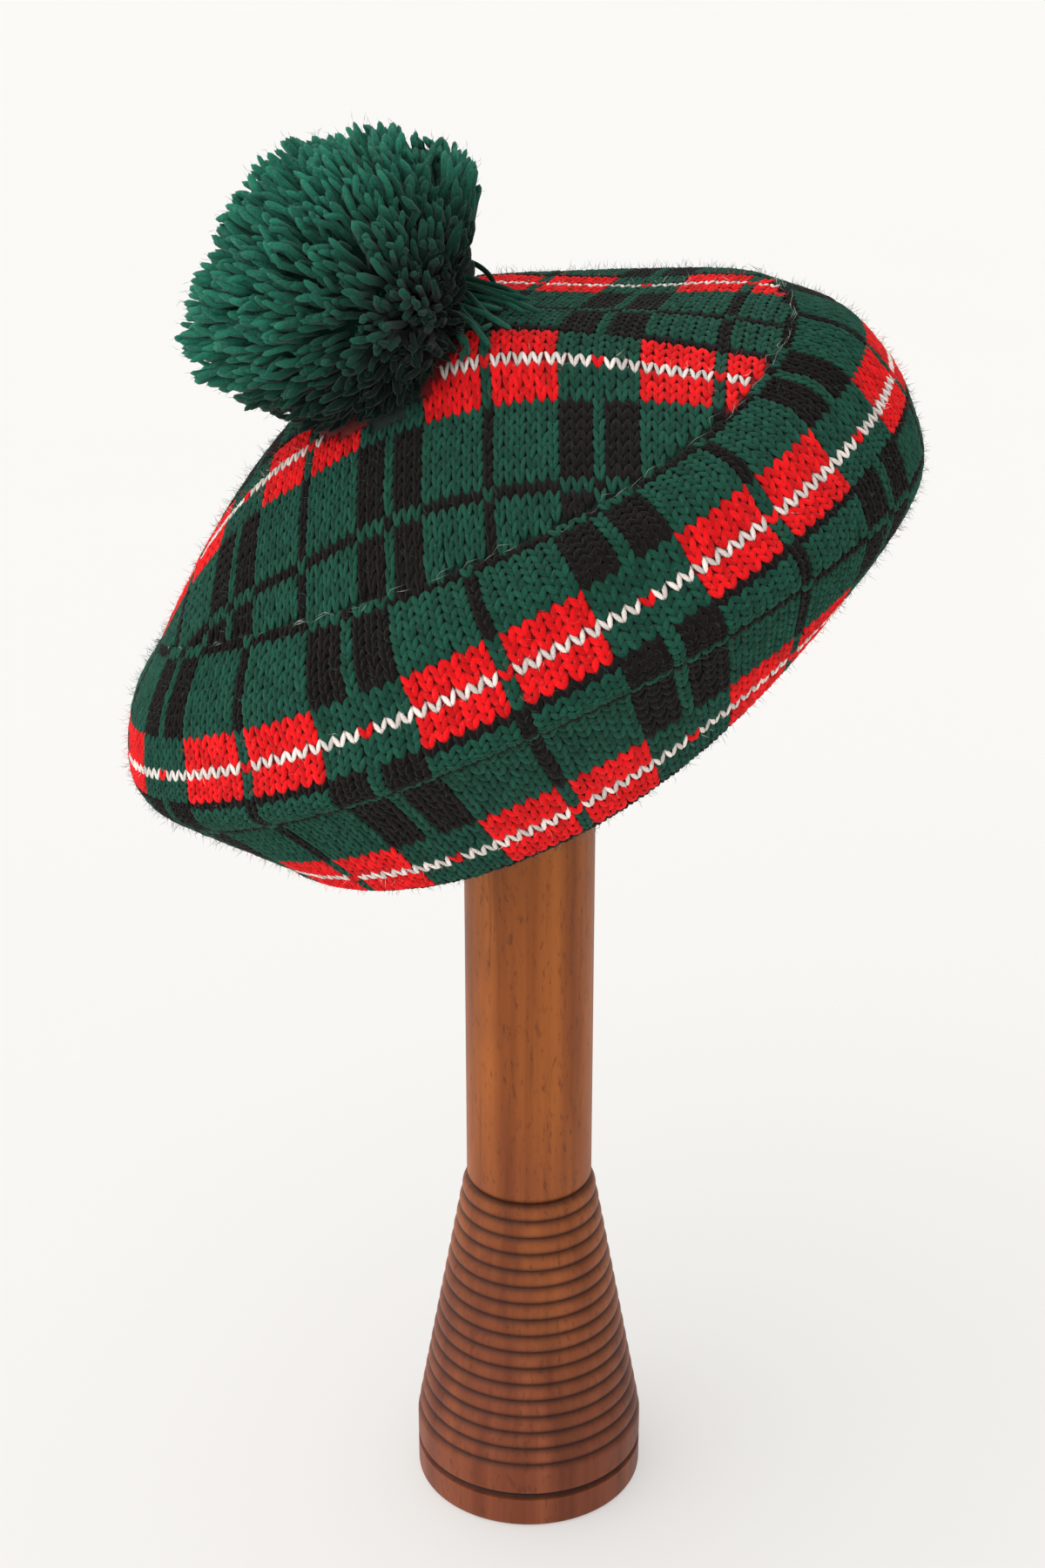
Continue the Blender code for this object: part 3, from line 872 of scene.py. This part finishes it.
def make_seam_threads(side):
    """Thin pale ends of the thread that the crown was sewn on with."""
    rng = np.random.default_rng(52)
    wale = rng.uniform(0, SIDE_WALES, SEAM_THREADS)
    root, normal = side.at(wale, rng.uniform(0.0, 0.7, SEAM_THREADS))
    ahead, _ = side.at(wale + 1, np.full(SEAM_THREADS, 0.35))
    along = unit(ahead - root) + normal * rng.uniform(0.0, 0.25, (SEAM_THREADS, 1))
    lengths = rng.uniform(*SEAM_THREAD_LENGTHS, SEAM_THREADS)
    lay_hairs(
        "seam_threads", root + normal * 0.0006, along, lengths, SEAM_THREAD_RADIUS,
        fuzz_finish("seam_thread", THREAD_COLOUR), 53,
    )


def make_hat(side, crown):
    on_side, on_crown = make_stitches(side, crown)
    side_cloth, crown_cloth = make_cloth(side, crown)
    make_fuzz(side, crown)
    make_seam_threads(side)


# Pompom


def pompom_reach(directions):
    """Distance from the pompom's middle to the tips of its yarn, along hat directions."""
    reach = np.ones(len(directions))
    for lobe in POMPOM_LOBES:
        towards = unit(np.array([lobe.across, lobe.back, lobe.up]))
        turn = np.arccos(np.clip(directions @ towards, -1, 1))
        reach += lobe.reach * np.exp(-((turn / lobe.width) ** 2))
    return reach * POMPOM_RADIUS


def even_directions(count):
    """Directions spread evenly over a ball."""
    index = np.arange(count) + 0.5
    rise = 1 - 2 * index / count
    turn = index * math.pi * (3 - math.sqrt(5))
    flat = np.sqrt(1 - rise * rise)
    return np.stack([flat * np.cos(turn), flat * np.sin(turn), rise], axis=-1)


def above_crown(points, gap):
    """Lifts points so that they stay a gap above the crown."""
    rise = crown_rise(points[..., 0].ravel(), points[..., 1].ravel()).reshape(points.shape[:-1])
    lifted = points.copy()
    lifted[..., 2] = np.maximum(points[..., 2], rise + gap)
    return lifted


def yarn_pattern():
    """A cut end of yarn, one unit long along Y and one unit in radius."""
    return draw_strand(YARN_SIDES, [((0, share, 0), width) for share, width in YARN_SHAPE])


def lay_yarns(name, paths, radii, painted_light_share, finish, seed):
    """Plied yarns swept along their paths: paths is stations by yarns by 3, in the hat's frame.
    The fourth argument is 1 where a yarn keeps its full colour and less where it lies deep in the
    pompom, as painted shade."""
    points, triangles = yarn_pattern()
    rng = np.random.default_rng(seed)
    shares = np.array([share for share, _ in YARN_SHAPE])
    station = np.argmin(np.abs(points[:, 1, None] - shares), axis=1)
    along = unit(np.gradient(paths, axis=0))
    aside = unit(np.cross(along, np.array([0.31, 0.22, 0.92])))
    around = np.cross(along, aside)
    count = paths.shape[1]
    start = rng.random((count, 1)) * 2 * math.pi
    angle = np.arctan2(points[:, 2], points[:, 0])[None, :]
    ply = 1 + 0.11 * np.cos(2 * (angle - start) - points[:, 1] * YARN_TURNS * 2 * math.pi)
    ply = ply * (1 + rng.normal(0, 0.08, ply.shape))
    width = np.hypot(points[:, 0], points[:, 2])[None, :] * radii[:, None] * ply
    centre = np.swapaxes(paths[station], 0, 1)
    sides = np.swapaxes(aside[station], 0, 1) * (width * np.cos(angle))[..., None]
    tops = np.swapaxes(around[station], 0, 1) * (width * np.sin(angle))[..., None]
    tone = np.broadcast_to(rng.random((count, 1)), width.shape)
    # the height mark here is painted shade: darker towards the root and where the yarn lies deep
    height = points[None, :, 1] * painted_light_share[:, None]
    placed = to_world(centre + sides + tops)
    piece = mesh_of_copies(name, placed, triangles, tone=tone, height=height)
    piece.data.materials.append(finish)
    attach(piece, "root")
    return piece


def yarn_paths(controls):
    """Smooth paths through four controls each, at the stations of a yarn."""
    fine = smooth_rings(controls, 8)
    return fine[[round(share * (len(fine) - 1)) for share, _ in YARN_SHAPE]]


def make_loose_ends(finish):
    """A few long ends that fan out from the tie and lie on the crown."""
    rng = np.random.default_rng(61)
    turns = np.radians(np.linspace(-75, 20, LOOSE_COUNT)) + rng.normal(0, 0.08, LOOSE_COUNT)
    far = rng.uniform(*LOOSE_REACH, LOOSE_COUNT)
    start = np.array(LOOSE_START) + rng.normal(0, 0.003, (LOOSE_COUNT, 2))
    out = np.stack([np.cos(turns), np.sin(turns)], axis=-1)
    controls = []
    for share, lift in ((0.0, 0.012), (0.35, 0.011), (0.7, 0.006), (1.0, 0.0022)):
        place = start + out * (far * share)[:, None] + rng.normal(0, 0.0024, (LOOSE_COUNT, 2))
        rise = crown_rise(place[:, 0], place[:, 1]) + lift * rng.uniform(0.7, 1.2, LOOSE_COUNT)
        controls.append(np.column_stack([place, rise]))
    radii = np.full(LOOSE_COUNT, YARN_RADIUS * 0.8)
    paths = above_crown(yarn_paths(controls), 0.0013)
    # painted shade: the loose ends keep only part of their full colour all along
    lay_yarns("loose_ends", paths, radii, np.full(LOOSE_COUNT, 0.55), finish, 62)


def make_tie_loop():
    """The loop of yarn that ties the pompom on, standing up beside it, coloured darker than the
    pompom.
    """
    line = bpy.data.curves.new("tie_loop", "CURVE")
    line.dimensions = "3D"
    line.bevel_depth = TIE_RADIUS
    line.bevel_resolution = 2
    line.resolution_u = 4
    line.use_fill_caps = True
    spline = line.splines.new("NURBS")
    spline.points.add(len(TIE_LOOP) - 1)
    for point, place in zip(spline.points, to_world(np.array(TIE_LOOP))):
        point.co = (*place, 1)
    spline.use_endpoint_u = True
    loop = bpy.data.objects.new("tie_loop", line)
    bpy.context.scene.collection.objects.link(loop)
    deselect_all()
    loop.select_set(True)
    bpy.context.view_layer.objects.active = loop
    bpy.ops.object.convert(target="MESH")
    loop = bpy.context.object
    loop.data.materials.clear()
    dark, light = shade(POMPOM_GREEN, 0.35), shade(POMPOM_GREEN, 0.8)
    # without a height mark, the tie yarn's finish colours it all over at half this colour, as painted
    # shade
    loop.data.materials.append(yarn_finish("tie_yarn", dark, light))
    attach(loop, "root")


def make_pompom_fuzz(tips, flow, rng):
    """Fibres standing off the cut ends of the yarn."""
    fluffy = np.arange(YARN_COUNT * 2) % YARN_COUNT
    fibres = flow[fluffy] + rng.normal(0, 0.45, (len(fluffy), 3))
    start = tips[fluffy] - flow[fluffy] * rng.uniform(0, 0.006, (len(fluffy), 1))
    clear = start[:, 2] > crown_rise(start[:, 0], start[:, 1]) + 0.002
    lay_hairs(
        "pompom_fuzz", start[clear], fibres[clear], rng.uniform(*POMPOM_HAIR_LENGTHS, clear.sum()),
        HAIR_RADIUS, fuzz_finish("pompom_fibre", POMPOM_FUZZ), 8,
    )


def make_pompom_heart(middle):
    """The head of yarn seen between the tips, coloured far darker than the yarn as painted shade."""
    deselect_all()
    bpy.ops.mesh.primitive_ico_sphere_add(subdivisions=4, radius=1)
    heart = bpy.context.object
    heart.name = "pompom_heart"
    ball = np.array([vertex.co for vertex in heart.data.vertices])
    reach = (pompom_reach(ball) - HEART_DEPTH)[:, None]
    inner = above_crown(middle + ball * reach, 0.0015)
    heart.data.vertices.foreach_set("co", to_world(inner).astype(np.float32).ravel())
    heart.data.shade_smooth()
    # painted shade: the head is coloured far darker than the pompom's yarn
    dark, light = shade(POMPOM_GREEN, 0.2), shade(POMPOM_GREEN, 0.4)
    heart.data.materials.append(yarn_finish("pompom_painted_shade", dark, light))
    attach(heart, "root")


def make_pompom():
    """Cut yarns that all come from one tied place, most of them long and a few short."""
    rise = float(crown_rise(np.array([POMPOM_ACROSS]), np.array([POMPOM_BACK]))[0]) + POMPOM_LIFT
    middle = np.array([POMPOM_ACROSS, POMPOM_BACK, rise])
    heart = middle + np.array(HEART_SHIFT) * POMPOM_RADIUS
    rng = np.random.default_rng(4)
    directions = unit(even_directions(YARN_COUNT) + rng.normal(0, 0.035, (YARN_COUNT, 3)))
    clumps = unit(even_directions(CLUMP_COUNT) + rng.normal(0, 0.12, (CLUMP_COUNT, 3)))
    own_clump = np.argmax(directions @ clumps.T, axis=1)
    gathered = unit(directions + CLUMP_PULL * (clumps[own_clump] - directions))
    rag = 1 - rng.random(YARN_COUNT) ** 2 * 0.15 + rng.normal(0, 0.012, YARN_COUNT)
    clump_rag = 1 + np.clip(rng.normal(0, 0.03, CLUMP_COUNT), -0.06, 0.04)[own_clump]
    tips = middle + gathered * (pompom_reach(gathered) * rag * clump_rag)[:, None]
    flow = unit(tips - heart)
    flow = unit(flow - YARN_LEAN * np.sum(flow * gathered, axis=1, keepdims=True) * gathered)
    showing = np.minimum(YARN_SHOWING, np.linalg.norm(tips - heart, axis=1) * 0.8)
    roots = tips - flow * showing[:, None]
    sway = rng.normal(0, 0.0016, (2, YARN_COUNT, 3))
    inner, outer = roots * 0.66 + tips * 0.34 + sway[0], roots * 0.33 + tips * 0.67 + sway[1]
    paths = yarn_paths([roots, inner, outer, tips])
    # painted shade along each yarn: nearly black at the root, full colour towards the tip
    finish = yarn_finish(
        "pompom_yarn", POMPOM_GREEN, POMPOM_FLECK, dark=0.06, sheen=0.14, low=0.15, high=0.74,
        fineness=1400,
    )
    radii = YARN_RADIUS * (1 + rng.normal(0, 0.10, YARN_COUNT))
    # painted shade: yarns whose tips lie near the tie or low over the crown are coloured darker
    painted_light_share = 0.25 + 0.75 * smoothstep(np.linalg.norm(tips - heart, axis=1), *PAINTED_SHADE_REACH)
    above = tips[:, 2] - crown_rise(tips[:, 0], tips[:, 1])
    painted_light_share = painted_light_share * (0.2 + 0.8 * smoothstep(above, *PAINTED_SHADE_RISE))
    pompom = lay_yarns("pompom_yarns", above_crown(paths, 0.0022), radii, painted_light_share, finish, 7)
    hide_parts("pompom")
    make_loose_ends(finish)
    make_tie_loop()
    make_pompom_fuzz(tips, flow, rng)
    make_pompom_heart(middle)


# Stand


def foot_radius(height):
    """The stand's plain outline: a straight shaft, a straight cone and an upright foot."""
    if height >= FLARE_TOP:
        return SHAFT_RADIUS
    if height <= FLARE_FOOT:
        return FOOT_RADIUS
    share = (height - FLARE_FOOT) / (FLARE_TOP - FLARE_FOOT)
    return FOOT_RADIUS + (SHAFT_RADIUS + FLARE_SHOULDER - FOOT_RADIUS) * share


def stand_profile():
    """Radius, height and hollowness down the stand's outer line. Each ring between two grooves
    is a low bead."""
    points = [(0.0, STAND_HEIGHT, 0.0)]
    for step in range(7):
        turn = step / 6 * math.pi / 2
        radius = SHAFT_RADIUS - TOP_ROUNDING * (1 - math.sin(turn))
        points.append((radius, STAND_HEIGHT - TOP_ROUNDING * (1 - math.cos(turn)), 0.0))
    last_groove = FIRST_GROOVE + (GROOVE_COUNT - 1) * GROOVE_PITCH
    for height in np.linspace(STAND_HEIGHT - 2 * TOP_ROUNDING, last_groove + GROOVE_PITCH * 0.7, 40):
        points.append((foot_radius(height), height, 0.0))
    steps = 8
    for index in range(GROOVE_COUNT * steps, -1, -1):
        share = index / steps
        height = FIRST_GROOVE + (share - 0.5) * GROOVE_PITCH
        dip = 1 - math.sqrt(1 - 0.995 * abs(math.sin(math.pi * share)) ** 2.6)
        points.append((foot_radius(height) - GROOVE_DEPTH * dip, height, dip ** 1.3))
    half = DEEP_GROOVE_WIDTH / 2
    for share in np.linspace(1, -1, 11):
        depth = math.sqrt(max(0.0, 1 - share * share))
        points.append((FOOT_RADIUS - DEEP_GROOVE_DEPTH * depth, DEEP_GROOVE + share * half, depth))
    points.append((FOOT_RADIUS, DEEP_GROOVE - half * 1.3, 0.0))
    for step in range(6):
        turn = step / 5 * math.pi / 2
        radius = FOOT_RADIUS - FOOT_CHAMFER * (1 - math.cos(turn))
        points.append((radius, FOOT_CHAMFER * (1 - math.sin(turn)), 0.0))
    points.append((0.0, 0.0, 0.0))
    return points


def make_stand():
    """The stand, turned on its axis. Each point keeps how hollow it is, for the painted shade in its
    grooves.
    """
    profile = stand_profile()
    deselect_all()
    mesh = bpy.data.meshes.new("stand_turning")
    line = [(radius, 0, height) for radius, height, _ in profile]
    mesh.from_pydata(line, [(start, start + 1) for start in range(len(line) - 1)], [])
    hollow = mesh.attributes.new("hollow", "FLOAT", "POINT")
    hollow.data.foreach_set("value", [value for _, _, value in profile])
    stand = bpy.data.objects.new("stand_turning", mesh)
    bpy.context.scene.collection.objects.link(stand)
    bpy.context.view_layer.objects.active = stand
    stand.select_set(True)
    screw = stand.modifiers.new("turned", "SCREW")
    screw.steps = screw.render_steps = STAND_SIDES
    screw.use_merge_vertices = True
    screw.merge_threshold = 0.00001
    bpy.ops.object.modifier_apply(modifier="turned")
    bpy.ops.object.mode_set(mode="EDIT")
    bpy.ops.mesh.select_all(action="SELECT")
    bpy.ops.mesh.remove_doubles(threshold=0.00001)
    bpy.ops.mesh.normals_make_consistent(inside=False)
    bpy.ops.object.mode_set(mode="OBJECT")
    bpy.ops.object.shade_smooth_by_angle(angle=math.radians(50))
    stand.data.materials.append(wood_finish())
    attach(stand, "root")
    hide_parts("turned_stand")


def make_band(side):
    """Ribbed knit turned up inside the head opening."""
    deselect_all()
    bpy.ops.mesh.primitive_grid_add(x_subdivisions=BAND_RIBS * 4, y_subdivisions=5, size=1)
    band = bpy.context.object
    band.name = "ribbed_band"
    flat = np.array([vertex.co for vertex in band.data.vertices]) + 0.5
    angle = flat[:, 0] * 2 * math.pi
    twist = SIDE_TWIST * (SIDE_COURSES - SIDE_STRIPE_COURSE) / REPEAT_COURSES
    wale = (angle - SIDE_FIRST_WALE - twist) / (2 * math.pi) * SIDE_WALES
    edge, _ = side.at(wale, np.full(len(wale), float(SIDE_COURSES)))
    reach = OPENING_RADIUS - CLEARANCE / 2 - 0.0006 - 0.0005 * np.cos(angle * BAND_RIBS)
    rise = edge[:, 2] + flat[:, 1] * BAND_HEIGHT
    points = np.stack([reach * np.cos(angle), reach * np.sin(angle), rise], axis=-1)
    band.data.vertices.foreach_set("co", to_world(points).astype(np.float32).ravel())
    band.data.update()
    face = band.data.polygons[0]
    outward = Vector(to_world(points)[face.vertices[0]] - HAT_PLACE)
    give_wall(band, BAND_THICKNESS, face.normal.dot(outward) < 0, even=False)
    # the band has no height mark, so its yarn finish colours it all over at half its green, as
    # painted shade
    band.data.materials.append(yarn_finish("band_yarn", BAND_GREEN, BAND_FLECK))
    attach(band, "root")
    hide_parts("head_band")


# Room


def make_floor():
    deselect_all()
    bpy.ops.mesh.primitive_plane_add(size=FLOOR_SIZE)
    floor = bpy.context.object
    floor.name = "pale_floor"
    floor.data.materials.append(paper_finish())


def make_light():
    """A soft room, brighter on the left, and a wide window that leaves almost no shadow."""
    world = bpy.data.worlds.new("soft_room")
    bpy.context.scene.world = world
    world.use_nodes = True
    nodes, links = world.node_tree.nodes, world.node_tree.links
    where, split = nodes.new("ShaderNodeTexCoord"), nodes.new("ShaderNodeSeparateXYZ")
    bright = nodes.new("ShaderNodeMapRange")
    bright.inputs["From Min"].default_value = -1
    bright.inputs["To Min"].default_value = ROOM_LEFT
    bright.inputs["To Max"].default_value = ROOM_RIGHT
    links.new(where.outputs["Generated"], split.inputs[0])
    links.new(split.outputs["X"], bright.inputs["Value"])
    seen, strength = nodes.new("ShaderNodeLightPath"), nodes.new("ShaderNodeMix")
    links.new(seen.outputs["Is Camera Ray"], strength.inputs["Factor"])
    links.new(bright.outputs["Result"], strength.inputs["A"])
    strength.inputs["B"].default_value = ROOM_SEEN
    links.new(strength.outputs["Result"], nodes["Background"].inputs["Strength"])
    nodes["Background"].inputs["Color"].default_value = (*ROOM_TINT, 1)
    light = bpy.data.lights.new("window", "SUN")
    light.energy = WINDOW_POWER
    light.angle = WINDOW_SPREAD
    window = bpy.data.objects.new("window", light)
    bpy.context.scene.collection.objects.link(window)
    window.location = WINDOW_PLACE
    window.rotation_euler = Vector(WINDOW_PLACE).to_track_quat("Z", "Y").to_euler()


def make_camera():
    view = bpy.data.cameras.new("viewer")
    view.lens = CAMERA_LENS
    view.sensor_width = 36.0
    camera = bpy.data.objects.new("viewer", view)
    bpy.context.scene.collection.objects.link(camera)
    camera.location = CAMERA_PLACE
    camera.rotation_euler = (math.radians(90) - CAMERA_DROP, 0, 0)
    bpy.context.scene.camera = camera
    bpy.context.scene.view_settings.view_transform = "Standard"


def main():
    side, crown = SidePiece(), Crown()
    make_camera()
    make_floor()
    make_light()
    make_stand()
    make_hat(side, crown)
    make_band(side)
    make_pompom()


main()
